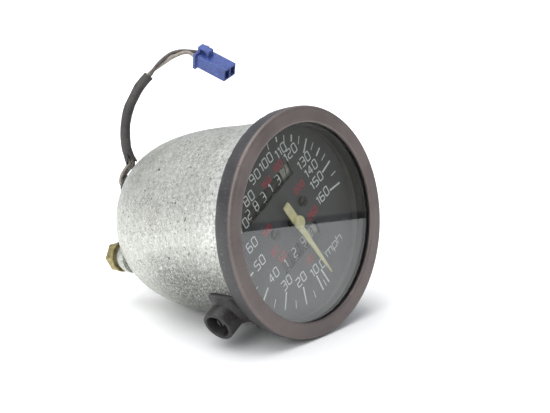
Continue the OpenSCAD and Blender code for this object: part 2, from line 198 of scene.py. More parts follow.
# ---- mesh helpers ---------------------------------------------------------------

def mesh_object(name, verts, faces, smooth_angle=SMOOTH_ANGLE):
    """A mesh from points in millimetres, smooth except at sharp edges."""
    mesh = bpy.data.meshes.new(name)
    mesh.from_pydata([tuple(Vector(v) * MM) for v in verts], [], faces)
    bm = bmesh.new()
    bm.from_mesh(mesh)
    bmesh.ops.remove_doubles(bm, verts=bm.verts, dist=1e-7)
    bmesh.ops.recalc_face_normals(bm, faces=bm.faces)
    bm.to_mesh(mesh)
    bm.free()
    mesh.shade_smooth()
    mesh.set_sharp_from_angle(angle=math.radians(smooth_angle))
    return link(bpy.data.objects.new(name, mesh))


def lathe(name, profile, segments, wobble=None, smooth_angle=SMOOTH_ANGLE):
    """Turns a closed outline of (radius, y) points about the Y axis."""
    verts, faces = [], []
    count = len(profile)
    for s in range(segments):
        a = 2 * math.pi * s / segments
        for r, y in profile:
            grow = wobble(a, r, y) if wobble else 0
            verts.append(((r + grow) * math.cos(a), y, (r + grow) * math.sin(a)))
    for s in range(segments):
        here, there = s * count, (s + 1) % segments * count
        for k in range(count):
            n = (k + 1) % count
            faces.append((here + k, here + n, there + n, there + k))
    return mesh_object(name, verts, faces, smooth_angle)


def rounded(points, radius, closed=False, steps=5):
    """The polyline with its corners rounded off."""
    points = [Vector(p) for p in points]
    count = len(points)
    out = []
    for i, p in enumerate(points):
        if not closed and i in (0, count - 1):
            out.append(p)
            continue
        before, after = points[i - 1], points[(i + 1) % count]
        cut = min(radius, (before - p).length * 0.5, (after - p).length * 0.5)
        start = p + (before - p).normalized() * cut
        end = p + (after - p).normalized() * cut
        for k in range(steps + 1):
            t = k / steps
            out.append(start * (1 - t) ** 2 + p * 2 * t * (1 - t) + end * t * t)
    return out


def move_to(obj, offset):
    """Moves a new mesh, points and all, by millimetres."""
    obj.data.transform(Matrix.Translation(Vector(offset) * MM))
    return obj


# ---- stroke lettering ---------------------------------------------------------

RING = [(0, 0), (1, 0), (1, 1), (0, 1)]
GLYPHS = {
    "0": [(RING, True)],
    "1": [([(0, 0.76), (1, 1), (1, 0)], False)],
    "2": [([(0, 1), (1, 1), (1, 0.5), (0, 0.5), (0, 0), (1, 0)], False)],
    "3": [([(0, 1), (1, 1), (1, 0), (0, 0)], False), ([(0.3, 0.52), (1, 0.52)], False)],
    "4": [([(0.72, 0), (0.72, 1), (-0.05, 0.28), (1.05, 0.28)], False)],
    "5": [([(1, 1), (0, 1), (0, 0.54), (1, 0.54), (1, 0), (0, 0)], False)],
    "6": [([(0.9, 1), (0, 1), (0, 0), (1, 0), (1, 0.54), (0, 0.54)], False)],
    "7": [([(0, 1), (1, 1), (0.3, 0)], False)],
    "8": [(RING, True), ([(0, 0.52), (1, 0.52)], False)],
    "9": [([(0.1, 0), (1, 0), (1, 1), (0, 1), (0, 0.46), (1, 0.46)], False)],
    "m": [([(0, 0), (0, 0.66), (1, 0.66), (1, 0)], False), ([(0.5, 0.66), (0.5, 0)], False)],
    "p": [([(0, -0.34), (0, 0.66), (1, 0.66), (1, 0), (0, 0)], False)],
    "h": [([(0, 1), (0, 0)], False), ([(0, 0.62), (1, 0.62), (1, 0)], False)],
}
WIDTH_SHARES = {"1": 0.36, "m": 1.45}

# Stroke, character width and height, gap and corner radius.
NUMERAL_TYPE = (0.46, 2.2, 3.4, 1.1, 0.65)
UNIT_TYPE = (0.32, 2.6, 3.4, 0.85, 0.4)
KILOMETRE_TYPE = (0.36, 1.45, 2.5, 0.8, 0.45)
DRUM_TYPE = (0.44, 1.9, 3.75, 1, 0.85)


def lettering(text, centre, style):
    """The strokes of a text as flat lines of one width, centred on a point."""
    stroke, width, height, gap, corner = style
    widths = [width * WIDTH_SHARES.get(character, 1) for character in text]
    left = centre[0] - (sum(widths) + gap * (len(text) - 1)) / 2
    strokes = []
    for character, wide in zip(text, widths):
        for points, closed in GLYPHS[character]:
            placed = [(left + u * wide, centre[1] + (v - 0.5) * height) for u, v in points]
            strokes.append((rounded(placed, corner, closed), closed, stroke))
        left += wide + gap
    return strokes


def fine(points, step, closed):
    """The polyline with no side longer than step."""
    out = []
    pairs = zip(points, points[1:] + points[:1]) if closed else zip(points, points[1:])
    for a, b in pairs:
        parts = max(1, math.ceil((b - a).length / step))
        out += [a.lerp(b, k / parts) for k in range(parts)]
    return out if closed else out + [points[-1]]


def ribbons(name, strokes, wrap, step=9.0):
    """Flat painted strokes of their own width, each point sent to its place by wrap."""
    verts, faces = [], []
    for points, closed, width in strokes:
        points = [p for i, p in enumerate(points) if i == 0 or (p - points[i - 1]).length > 1e-4]
        points = fine(points, step, closed)
        count = len(points)
        base = len(verts)
        for i, p in enumerate(points):
            before = points[i - 1] if closed or i else p * 2 - points[1]
            after = points[(i + 1) % count] if closed or i < count - 1 else p * 2 - points[-2]
            one, two = (p - before).normalized(), (after - p).normalized()
            along = (one + two).normalized()
            normal = Vector((-along.y, along.x))
            reach = width / 2 / max(0.5, abs(normal.dot(Vector((-one.y, one.x)))))
            verts += [wrap(p + normal * reach), wrap(p - normal * reach)]
        for i in range(count if closed else count - 1):
            a, b = base + 2 * i, base + 2 * ((i + 1) % count)
            faces.append((a + 1, b + 1, b, a))
    mesh = bpy.data.meshes.new(name)
    mesh.from_pydata([tuple(Vector(v) * MM) for v in verts], [], faces)
    return link(bpy.data.objects.new(name, mesh))


# ---- procedural materials --------------------------------------------------------

def srgb(*levels):
    """A linear colour from screen levels of 0 to 255."""
    shares = [v / 255 for v in levels]
    linear = [s / 12.92 if s <= 0.04045 else ((s + 0.055) / 1.055) ** 2.4 for s in shares]
    return (*linear, 1.0)


class Look:
    """A node material whose patterns sit in the object's own space."""

    def __init__(self, name, **sockets):
        self.material = bpy.data.materials.new(name)
        self.material.use_nodes = True
        self.tree = self.material.node_tree
        self.shader = self.tree.nodes["Principled BSDF"]
        self.place = self.add("ShaderNodeTexCoord").outputs["Object"]
        self.normal = None
        for socket, value in sockets.items():
            self.shader.inputs[socket.replace("_", " ")].default_value = value

    def add(self, kind, **settings):
        node = self.tree.nodes.new(kind)
        for key, value in settings.items():
            setattr(node, key, value)
        return node

    def join(self, source, target):
        self.tree.links.new(source, target)

    def noise(self, size_mm, detail=4.0, roughness=0.55, stretch=(1, 1, 1), shift=0.0):
        mapping = self.add("ShaderNodeMapping")
        mapping.inputs["Scale"].default_value = stretch
        mapping.inputs["Location"].default_value = (shift, shift, shift)
        self.join(self.place, mapping.inputs["Vector"])
        node = self.add("ShaderNodeTexNoise")
        node.inputs["Scale"].default_value = 1 / (size_mm * MM)
        node.inputs["Detail"].default_value = detail
        node.inputs["Roughness"].default_value = roughness
        self.join(mapping.outputs["Vector"], node.inputs["Vector"])
        return node.outputs["Fac"]

    def level(self, source, low, high, start=0.0, end=1.0):
        """A value held between low and high, and spread over start to end."""
        node = self.add("ShaderNodeMapRange")
        for socket, value in zip(("From Min", "From Max", "To Min", "To Max"), (low, high, start, end)):
            node.inputs[socket].default_value = value
        self.join(source, node.inputs["Value"])
        return node.outputs["Result"]

    def times(self, first, second, operation="MULTIPLY"):
        """Two values multiplied, or put together by another operation."""
        node = self.add("ShaderNodeMath", operation=operation)
        self.join(first, node.inputs[0])
        if isinstance(second, (int, float)):
            node.inputs[1].default_value = second
        else:
            self.join(second, node.inputs[1])
        return node.outputs["Value"]

    def mix(self, factor, first, second):
        node = self.add("ShaderNodeMix", data_type="RGBA")
        self.join(factor, node.inputs[0])
        for socket, value in ((node.inputs[6], first), (node.inputs[7], second)):
            if isinstance(value, tuple):
                socket.default_value = value
            else:
                self.join(value, socket)
        return node.outputs[2]

    def axis(self, name):
        node = self.add("ShaderNodeSeparateXYZ")
        self.join(self.place, node.inputs["Vector"])
        return node.outputs[name]

    def along(self, direction):
        """How far a point lies along a fixed direction of the object, in metres."""
        node = self.add("ShaderNodeVectorMath", operation="DOT_PRODUCT")
        node.inputs[1].default_value = direction
        self.join(self.place, node.inputs[0])
        return node.outputs["Value"]

    def radius(self):
        """Distance from the gauge axis, in metres."""
        node = self.add("ShaderNodeVectorMath", operation="MULTIPLY")
        node.inputs[1].default_value = (1, 0, 1)
        self.join(self.place, node.inputs[0])
        length = self.add("ShaderNodeVectorMath", operation="LENGTH")
        self.join(node.outputs["Vector"], length.inputs[0])
        return length.outputs["Value"]

    def bump(self, height, depth_mm):
        """Relief, laid over what relief there is already."""
        node = self.add("ShaderNodeBump")
        node.inputs["Distance"].default_value = depth_mm * MM
        self.join(height, node.inputs["Height"])
        if self.normal is not None:
            self.join(self.normal, node.inputs["Normal"])
        self.normal = node.outputs["Normal"]
        self.join(self.normal, self.shader.inputs["Normal"])

    def colour(self, source):
        self.join(source, self.shader.inputs["Base Color"])

    def rough(self, source):
        self.join(source, self.shader.inputs["Roughness"])


def plain_look(name, pale, dark, rough=(0.4, 0.6), patch=3.0, grain=0.25, depth=0.01,
               stretch=(1, 1, 1), specks=None, speck_size=0.5, **sockets):
    """Two blended tones in patches, a fine grain, uneven gloss and, if asked, specks of dirt."""
    look = Look(name, **sockets)
    patches = look.noise(patch, 6.0, 0.6)
    fine_grain = look.noise(grain, 3.0, 0.6, stretch)
    tone = look.mix(look.level(patches, 0.35, 0.65), dark, pale)
    if specks:
        marks = look.noise(speck_size, 2.0, 0.5, shift=3.7)
        tone = look.mix(look.level(marks, 0.62, 0.7, 0.0, 0.85), tone, specks)
    look.colour(tone)
    look.rough(look.level(look.times(patches, fine_grain), 0.15, 0.4, *rough))
    look.bump(fine_grain, depth)
    return look.material


# The side of the bowl that lies uppermost; the far side gets painted shade, and the upper side a
# painted highlight near the bezel.
BOWL_UP = (0.63, 0.0, 0.77)


def bowl_look():
    """Cast zinc: mottled, with specks, pits and scuffs; a painted highlight near the bezel above,
    painted shade below with crust spots in it, and small painted glint spots.
    """
    look = Look("bowl_zinc", Metallic=0.8)
    clouds = look.noise(16, 5.0, 0.6)
    mottle = look.noise(1.6, 6.0, 0.72)
    sparkle = look.noise(0.5, 3.0, 0.7, shift=1.3)
    tone = look.mix(look.level(mottle, 0.38, 0.62), srgb(168, 170, 162), srgb(202, 204, 196))
    tone = look.mix(look.level(clouds, 0.54, 0.72, 0.0, 0.5), tone, srgb(158, 152, 145))
    height = look.along(BOWL_UP)
    # Painted shade: darker towards the bottom of the bowl, over the part nearer the bezel.
    low = look.times(look.level(height, -0.008, -0.021), look.level(look.axis("Y"), -0.018, -0.034))
    tone = look.mix(look.times(low, 0.8), tone, srgb(138, 140, 135))
    # Painted highlight: a pale band next to the bezel on the upper side, patchy with the mottle.
    painted_highlight = look.times(look.level(look.axis("Y"), -0.052, -0.064), look.level(mottle, 0.4, 0.6))
    painted_highlight = look.times(painted_highlight, look.level(height, -0.02, -0.006))
    tone = look.mix(look.times(painted_highlight, 0.7), tone, srgb(232, 233, 229))
    specks = look.level(look.noise(0.8, 4.0, 0.7, shift=4.1), 0.56, 0.62, 0.0, 0.85)
    thin = look.level(look.noise(8, 3.0, 0.5, shift=7.7), 0.4, 0.56)
    tone = look.mix(look.times(specks, thin), tone, srgb(92, 92, 84))
    # Dark crust spots, laid only where the shade below is painted, so partly crust and partly painted
    # shade.
    crust = look.level(look.noise(1.0, 5.0, 0.75, shift=5.5), 0.47, 0.52)
    tone = look.mix(look.times(look.times(low, crust), 0.7), tone, srgb(76, 78, 74))
    # Painted glint spots: small pale flecks of reflected light all over the bowl.
    painted_glints = look.level(look.noise(0.7, 3.0, 0.7, shift=6.6), 0.58, 0.64, 0.0, 0.8)
    tone = look.mix(painted_glints, tone, srgb(232, 232, 226))
    pits = look.level(look.noise(1.9, 2.0, 0.4, shift=9.2), 0.7, 0.74, 0.0, 0.8)
    tone = look.mix(pits, tone, srgb(84, 82, 78))
    scuffs = look.level(look.noise(5, 4.0, 0.7, (0.5, 1, 2.2), shift=2.9), 0.62, 0.7, 0.0, 0.6)
    tone = look.mix(scuffs, tone, srgb(132, 118, 112))
    look.colour(tone)
    look.rough(look.level(sparkle, 0.3, 0.7, 0.3, 0.58))
    look.bump(mottle, 0.16)
    look.bump(sparkle, 0.12)
    return look.material


def bezel_look():
    """Worn paint with painted shade on the flank, which is darker than the front, and scratches, chips
    and dust.
    """
    look = Look("bezel_paint", Metallic=0.3, Coat_Weight=0.1, Coat_Roughness=0.35)
    clouds = look.noise(12, 5.0, 0.6)
    grain = look.noise(0.22, 3.0, 0.6)
    scratches = look.noise(1.1, 5.0, 0.75, (1, 0.15, 1), shift=5.3)
    front_tone = look.mix(look.level(clouds, 0.35, 0.65), srgb(92, 83, 81), srgb(106, 96, 93))
    # Painted shade: the flank is the same paint as the front, given darker tones.
    shaded_flank_tone = look.mix(look.level(clouds, 0.35, 0.65), srgb(48, 48, 49), srgb(60, 59, 60))
    tone = look.mix(look.level(look.axis("Y"), -0.0742, -0.0752), shaded_flank_tone, front_tone)
    tone = look.mix(look.level(scratches, 0.58, 0.7, 0.0, 0.3), tone, srgb(128, 120, 117))
    edge = look.level(look.radius(), 0.0408, 0.0419)
    front = look.level(look.axis("Y"), -0.0738, -0.0757)
    chips = look.level(look.noise(1.3, 4.0, 0.7, shift=8.8), 0.6, 0.64)
    worn = look.times(look.times(edge, front), chips)
    tone = look.mix(worn, tone, srgb(54, 51, 51))
    dust = look.level(look.noise(0.5, 2.0, 0.5, shift=6.1), 0.68, 0.74, 0.0, 0.6)
    tone = look.mix(dust, tone, srgb(150, 144, 140))
    look.colour(tone)
    look.rough(look.level(clouds, 0.3, 0.7, 0.38, 0.54))
    look.bump(grain, 0.006)
    look.bump(scratches, 0.01)
    return look.material


def dial_look():
    """Flat dark paint with a little dust."""
    look = Look("dial_paint")
    clouds = look.noise(18, 4.0, 0.5)
    grain = look.noise(0.12, 2.0, 0.6)
    tone = look.mix(look.level(clouds, 0.35, 0.65), srgb(74, 75, 77), srgb(82, 83, 85))
    dust = look.level(look.noise(0.35, 2.0, 0.5, shift=2.2), 0.72, 0.78, 0.0, 0.5)
    tone = look.mix(dust, tone, srgb(140, 140, 136))
    look.colour(tone)
    look.rough(look.level(clouds, 0.3, 0.7, 0.55, 0.7))
    look.bump(grain, 0.006)
    return look.material


def glass_look():
    """Clear glass that lets the lamps light what is behind it."""
    look = Look("lens_glass", Transmission_Weight=1.0, IOR=1.5)
    look.shader.inputs["Base Color"].default_value = srgb(244, 247, 246)
    smears = look.noise(7, 5.0, 0.65)
    look.rough(look.level(smears, 0.5, 0.8, 0.0, 0.06))
    path = look.add("ShaderNodeLightPath")
    clear = look.add("ShaderNodeBsdfTransparent")
    clear.inputs["Color"].default_value = (0.95, 0.95, 0.95, 1)
    either = look.add("ShaderNodeMixShader")
    look.join(path.outputs["Is Shadow Ray"], either.inputs[0])
    look.join(look.shader.outputs["BSDF"], either.inputs[1])
    look.join(clear.outputs["BSDF"], either.inputs[2])
    look.join(either.outputs["Shader"], look.tree.nodes["Material Output"].inputs["Surface"])
    return look.material


def sleeve_look():
    """Scuffed black plastic."""
    look = Look("sleeve_pvc")
    scuff = look.noise(0.8, 6.0, 0.75)
    broad = look.noise(5, 4.0, 0.6, shift=2.0)
    tone = look.mix(look.level(broad, 0.35, 0.65), srgb(48, 45, 45), srgb(64, 60, 59))
    tone = look.mix(look.level(scuff, 0.56, 0.7, 0.0, 0.7), tone, srgb(92, 87, 85))
    look.colour(tone)
    look.rough(look.level(scuff, 0.3, 0.7, 0.5, 0.75))
    look.bump(scuff, 0.06)
    return look.material


def threaded_look(name, pale, dark, pitch_mm, from_y, to_y):
    """Bright steel with the relief of a screw thread between two depths."""
    look = Look(name, Metallic=0.9)
    patches = look.noise(2.5, 5.0, 0.6)
    look.colour(look.mix(look.level(patches, 0.35, 0.65), dark, pale))
    look.rough(look.level(patches, 0.3, 0.7, 0.3, 0.5))
    depth = look.axis("Y")
    saw = look.times(depth, pitch_mm * MM, "PINGPONG")
    inside = look.times(look.times(depth, from_y * MM, "GREATER_THAN"),
                        look.times(depth, to_y * MM, "LESS_THAN"))
    thread = look.times(look.times(saw, 1 / (pitch_mm * MM)), inside)
    look.bump(thread, pitch_mm * 0.5)
    look.bump(look.noise(0.2, 3.0), 0.008)
    return look.material


LOOKS = {
    "bowl": bowl_look(),
    "bezel": bezel_look(),
    "lens": glass_look(),
    "dial": dial_look(),
    "rubber": plain_look("rubber_black", srgb(44, 42, 42), srgb(30, 29, 29), (0.5, 0.75), 3, 0.3, 0.02,
                         specks=srgb(72, 70, 66)),
    "gasket": plain_look("gasket_rubber", srgb(24, 24, 24), srgb(14, 14, 14), (0.4, 0.6), 3, 0.3, 0.01),
    "surround": plain_look("surround_grey", srgb(80, 80, 79), srgb(66, 66, 65), (0.45, 0.6), 4, 0.3,
                           0.01, specks=srgb(104, 104, 100)),
    "black_steel": plain_look("blackened_steel", srgb(58, 58, 58), srgb(40, 40, 40), (0.35, 0.5), 1.2,
                              0.15, 0.006, Metallic=0.4),
    "steel": plain_look("zinc_steel", srgb(178, 178, 172), srgb(146, 145, 138), (0.28, 0.5), 2.0, 0.2,
                        0.008, specks=srgb(110, 98, 84), Metallic=0.9),
    "brass": plain_look("satin_brass", srgb(196, 168, 104), srgb(160, 134, 80), (0.3, 0.5), 3, 0.2,
                        0.006, stretch=(1, 1, 6), Metallic=0.9),
    "bronze": plain_look("bronze", srgb(176, 124, 78), srgb(136, 92, 58), (0.35, 0.5), 2, 0.2, 0.008,
                         Metallic=0.9),
    "casting": threaded_look("diecast_thread", srgb(168, 168, 164), srgb(136, 136, 132), 0.5, 1.2, 14),
    "stud": threaded_look("stud_thread", srgb(160, 158, 150), srgb(118, 114, 106), 0.4, 3, 7.6),
    "yellow": plain_look("yellow_zinc", srgb(170, 160, 112), srgb(126, 116, 80), (0.32, 0.55), 1.6,
                         0.25, 0.012, specks=srgb(84, 74, 58), Metallic=0.75),
    "bulb": plain_look("bulb_glass", srgb(240, 236, 214), srgb(214, 206, 176), (0.1, 0.3), 4, 0.4,
                       0.002),
    "sleeve": sleeve_look(),
    "wire_dark": plain_look("wire_brown", srgb(86, 78, 74), srgb(62, 56, 54), (0.4, 0.6), 2, 0.3, 0.01,
                            specks=srgb(120, 112, 106)),
    "wire_pale": plain_look("wire_beige", srgb(150, 142, 132), srgb(120, 112, 104), (0.4, 0.6), 2, 0.3,
                            0.01, specks=srgb(92, 84, 78)),
    "connector": plain_look("connector_nylon", srgb(62, 82, 146), srgb(46, 64, 124), (0.38, 0.6), 2.5,
                            0.2, 0.01, specks=srgb(112, 126, 170)),
    "guide": plain_look("guide_plastic", srgb(40, 37, 37), srgb(27, 25, 25), (0.42, 0.62), 3, 0.25,
                        0.012, specks=srgb(84, 80, 76)),
    "drum": plain_look("drum_black", srgb(34, 34, 36), srgb(26, 26, 28), (0.4, 0.6), 2, 0.2, 0.005),
    "white_drum": plain_look("drum_white", srgb(166, 164, 156), srgb(146, 144, 136), (0.4, 0.6), 2, 0.2,
                             0.005),
    "nylon": plain_look("gear_nylon", srgb(232, 228, 212), srgb(210, 204, 184), (0.35, 0.5), 2, 0.2,
                        0.006, Subsurface_Weight=0.1, Subsurface_Scale=0.001),
    "cream": plain_look("needle_cream", srgb(226, 220, 176), srgb(206, 198, 152), (0.4, 0.55), 3, 0.2,
                        0.006, specks=srgb(182, 172, 132)),
    "aluminium": plain_look("cup_aluminium", srgb(200, 200, 202), srgb(178, 178, 180), (0.25, 0.4), 3,
                            0.2, 0.004, stretch=(1, 8, 1), Metallic=0.95),
    "magnet": plain_look("magnet_grey", srgb(74, 74, 78), srgb(54, 54, 58), (0.45, 0.6), 2, 0.3, 0.02,
                         Metallic=0.5),
    "print_white": plain_look("print_white", srgb(236, 238, 238), srgb(216, 218, 218), (0.5, 0.65), 1.5,
                              0.1, 0.004),
    "print_red": plain_look("print_red", srgb(206, 36, 66), srgb(180, 28, 54), (0.5, 0.65), 1.5, 0.1,
                            0.004),
    "print_black": plain_look("print_black", srgb(40, 40, 40), srgb(26, 26, 26), (0.5, 0.65), 1.5, 0.1,
                              0.004),
}


def finish_piece(obj, look, body, slot, *stands_for):
    """Gives a new piece its material and body, and hides the CAD nodes that it stands for; slot is not
    used.
    """
    obj.data.materials.clear()
    obj.data.materials.append(LOOKS[look])
    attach(obj, body)
    if stands_for:
        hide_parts(*stands_for)
    return obj


# ---- lead ------------------------------------------------------------------------

def make_sleeve():
    """A thin tube over the wires, wrinkled, with its lower end torn open towards the front."""
    route = smooth_route(SLEEVE_ROUTE, SLEEVE_STEPS)
    sides = frames_along(route, BACK)
    row = SLEEVE_SIDES + 1
    verts, faces = [], []
    for i, point in enumerate(route):
        across, front = sides[i]
        t = i / (len(route) - 1)
        torn = ease((TORN_SHARE - t) / TORN_SHARE)
        gap = math.radians(TORN_ANGLE * torn)
        for k in range(row):
            turn = gap / 2 + (2 * math.pi - gap) * k / SLEEVE_SIDES
            direction = front * math.cos(turn) + across * math.sin(turn)
            crease = noise.noise((point + direction * 3) * 0.55) * 0.1
            ring = 0.1 * math.sin(t * 26 + 0.9 * math.sin(turn)) * (0.3 + t * (1 - t))
            radius = SLEEVE_R - 0.15 + crease + ring + 0.3 * torn
            jag = 0.7 * torn * torn * noise.noise(Vector((turn * 1.7, 3.1, 0)))
            verts.append(point + direction * radius + across.cross(front) * jag)
    for i in range(len(route) - 1):
        for k in range(SLEEVE_SIDES):
            a = i * row + k
            faces.append((a, a + 1, a + row + 1, a + row))
    tube = mesh_object("sleeve", verts, faces, 60)
    thick = tube.modifiers.new("wall", "SOLIDIFY")
    thick.thickness = SLEEVE_WALL * MM
    thick.offset = -1
    return tube


wire_dark, exit_dark, length_dark = make_wire("wire_dark", 1)
wire_pale, exit_pale, length_pale = make_wire("wire_pale", -1)
sleeve = make_sleeve()
finish_piece(wire_dark, "wire_dark", "head", "wire_a", "wire_a")
finish_piece(wire_pale, "wire_pale", "head", "wire_b", "wire_b")
finish_piece(sleeve, "sleeve", "head", "lead_sleeve", "lead_sleeve")

# ---- studio ------------------------------------------------------------------------

FLOOR_UP = Vector((0.4577, -0.165, 0.8738)).normalized()
FLOOR_RIGHT = (RIGHT - FLOOR_UP * RIGHT.dot(FLOOR_UP)).normalized()
FLOOR_AWAY = FLOOR_UP.cross(FLOOR_RIGHT)
FLOOR_LEVEL = -29.45
FLOOR_AT = FLOOR_UP * FLOOR_LEVEL


def studio(right, away, up):
    """A place by the camera's directions over the floor, in millimetres."""
    return FLOOR_AT + FLOOR_RIGHT * right + FLOOR_AWAY * away + FLOOR_UP * up


def make_panel(name, corners, colour, rough):
    """A flat board of the studio, with a slightly uneven colour."""
    mesh = bpy.data.meshes.new(name)
    mesh.from_pydata([tuple(c * MM) for c in corners], [], [(0, 1, 2, 3)])
    panel = link(bpy.data.objects.new(name, mesh))
    look = Look(name)
    dust = look.noise(60, 3.0)
    paler = (*(min(1, c * 1.04) for c in colour[:3]), 1)
    look.colour(look.mix(look.level(dust, 0.3, 0.7), colour, paler))
    look.shader.inputs["Roughness"].default_value = rough
    mesh.materials.append(look.material)
    return panel, look


def make_floor():
    """A white floor with painted light that grows away from the object, and that isn't seen from below.
    """
    near, far, left, right = -1600, 1800, -1800, 1800
    places = ((left, near), (right, near), (right, far), (left, far))
    corners = [studio(across, away, 0) for across, away in places]
    _, look = make_panel("floor", corners, (0.86, 0.86, 0.86, 1), 0.9)
    away = look.add("ShaderNodeVectorMath", operation="DISTANCE")
    away.inputs[1].default_value = AIM * MM
    look.join(look.place, away.inputs[0])
    # Painted light: the floor glows from 60 mm out from the aim point, up to half strength at 120 mm,
    # washing out the shadow there.
    look.shader.inputs["Emission Color"].default_value = (1, 1, 1, 1)
    glow = look.level(away.outputs["Value"], 0.06, 0.12, 0.0, 0.5)
    look.join(glow, look.shader.inputs["Emission Strength"])
    below = look.add("ShaderNodeNewGeometry")
    clear = look.add("ShaderNodeBsdfTransparent")
    either = look.add("ShaderNodeMixShader")
    look.join(below.outputs["Backfacing"], either.inputs[0])
    look.join(look.shader.outputs["BSDF"], either.inputs[1])
    look.join(clear.outputs["BSDF"], either.inputs[2])
    look.join(either.outputs["Shader"], look.tree.nodes["Material Output"].inputs["Surface"])


def make_flag(name, bottom, top, colour):
    """A board out of view that the glass reflects: its lower edge is the horizon on the dial."""
    left, right = studio(353, -379, 75), studio(600, 172, -16)
    corners = [left + FLOOR_UP * bottom, right + FLOOR_UP * bottom,
               right + FLOOR_UP * top, left + FLOOR_UP * top]
    flag, _ = make_panel(name, corners, colour, 0.9)
    flag.visible_camera = False
    flag.visible_diffuse = False
    flag.visible_shadow = False


def make_lamp(name, place, size, watts):
    """A round lamp, its size in metres, that shines at the part."""
    data = bpy.data.lights.new(name, "AREA")
    data.shape = "DISK"
    data.size = size
    data.energy = watts
    lamp = link(bpy.data.objects.new(name, data))
    lamp.location = place * MM
    lamp.rotation_mode = "QUATERNION"
    lamp.rotation_quaternion = (AIM - place).to_track_quat("-Z", "Y")
    lamp.visible_camera = False


def make_world():
    """White to the camera, a little softer as light."""
    world = bpy.data.worlds.new("studio")
    bpy.context.scene.world = world
    world.use_nodes = True
    tree = world.node_tree
    background = tree.nodes["Background"]
    background.inputs["Color"].default_value = (0.93, 0.95, 1.0, 1)
    background.inputs["Strength"].default_value = 0.62
    white = tree.nodes.new("ShaderNodeBackground")
    white.inputs["Color"].default_value = (1, 1, 1, 1)
    white.inputs["Strength"].default_value = 1.0
    path = tree.nodes.new("ShaderNodeLightPath")
    either = tree.nodes.new("ShaderNodeMixShader")
    tree.links.new(path.outputs["Is Camera Ray"], either.inputs[0])
    tree.links.new(background.outputs["Background"], either.inputs[1])
    tree.links.new(white.outputs["Background"], either.inputs[2])
    tree.links.new(either.outputs["Shader"], tree.nodes["World Output"].inputs["Surface"])


bpy.context.scene.view_settings.view_transform = "Standard"
make_world()
make_floor()
make_flag("flag_edge", 0, 5, srgb(24, 24, 24))
make_flag("flag_wall", 5, 360, srgb(126, 124, 116))
make_lamp("key", studio(-150, -120, 900), 1.0, 8.0)
make_lamp("front", studio(-500, -800, 520), 0.6, 4.0)

# ---- bowl --------------------------------------------------------------------------

def bowl_profile():
    """The bowl's outside from its flange to the neck hole, then back along the inside."""
    outside = [(38.2, -67.8), (38.15, -67.2), (37.85, -66.4), (37.5, -65.4), (BOWL_R, -64)]
    outside += [(BOWL_R - 1.7 * k / 10, BOWL_SIDE_Y + 17 * k / 10) for k in range(1, 11)]
    outside += [(22 + 13.6 * math.cos(a), -46 + 46 * math.sin(a))
                for a in (math.radians(3 * k) for k in range(1, 31))]
    for _ in range(6):
        outside = [outside[0]] + [
            ((a[0] + 2 * b[0] + c[0]) / 4, (a[1] + 2 * b[1] + c[1]) / 4)
            for a, b, c in zip(outside, outside[1:], outside[2:])] + [outside[-1]]
    outside += [(20, 0), (14, 0), (9, 0), (6.9, -0.02), (NECK_HOLE_R, -0.2)]
    rim = [(39.9, -71.5), (39.9, -70.9), (38.3, -70.8)]
    inside = []
    for k in range(len(outside) - 2, 0, -1):
        before, here, after = (Vector(outside[n]) for n in (k - 1, k, k + 1))
        along = (after - before).normalized()
        inner = here + Vector((-along.y, along.x)) * BOWL_WALL
        if here.y > -1:
            inner = (max(inner.x, NECK_HOLE_R), min(inner.y, -BOWL_WALL))
        inside.append(tuple(inner))
    return rim + outside + inside + [(37.3, -71.5)]


def cut_holes(obj, holes):
    """Takes round holes out of a sheet: each is (start, end, radius)."""
    cutter_mesh = bpy.data.meshes.new("cutter")
    bm = bmesh.new()
    for start, end, radius in holes:
        start, end = Vector(start) * MM, Vector(end) * MM
        turn = (end - start).to_track_quat("Z", "Y").to_matrix().to_4x4()
        matrix = Matrix.Translation((start + end) / 2) @ turn
        bmesh.ops.create_cone(bm, cap_ends=True, segments=48, radius1=radius * MM, radius2=radius * MM,
                              depth=(end - start).length, matrix=matrix)
    bm.to_mesh(cutter_mesh)
    bm.free()
    cutter = link(bpy.data.objects.new("cutter", cutter_mesh))
    cut = obj.modifiers.new("holes", "BOOLEAN")
    cut.object = cutter
    cut.solver = "EXACT"
    graph = bpy.context.evaluated_depsgraph_get()
    result = bpy.data.meshes.new_from_object(obj.evaluated_get(graph))
    obj.modifiers.clear()
    obj.data = result
    bpy.data.objects.remove(cutter)
    obj.data.shade_smooth()
    obj.data.set_sharp_from_angle(angle=math.radians(SMOOTH_ANGLE))


def rear_hole(x, z, depth, radius):
    return (x, -depth, z), (x, 2, z), radius


bowl = lathe("bowl_shell", bowl_profile(), 176)
cut_holes(bowl, [rear_hole(0, LAMP_Z, 3, LAMP_HOLE_R)]
          + [rear_hole(STUD_X * side, 0, 4, STUD_HOLE_R) for side in (1, -1)]
          + [rear_hole(CASE_SCREW_X * side, 0, 3, CASE_SCREW_HOLE_R) for side in (1, -1)]
          + [((-42, AXLE_Y, TRIP_Z), (-28, AXLE_Y, TRIP_Z), RESET_HOLE_R)])
finish_piece(bowl, "bowl", "head", "bowl", "bowl")
for side in (-1, 1):
    pad = lathe(f"stud_pad_{'left' if side < 0 else 'right'}",
                [(3.0, 0.4), (5.2, 0.4), (5.5, 0.3), (5.6, 0.0), (5.75, -0.8), (6.2, -1.6), (6.2, -3.4),
                 (3.0, -3.4)], 64)
    finish_piece(move_to(pad, (STUD_X * side, 0, 0)), "bowl", "head", "bowl")

# ---- bezel -------------------------------------------------------------------------

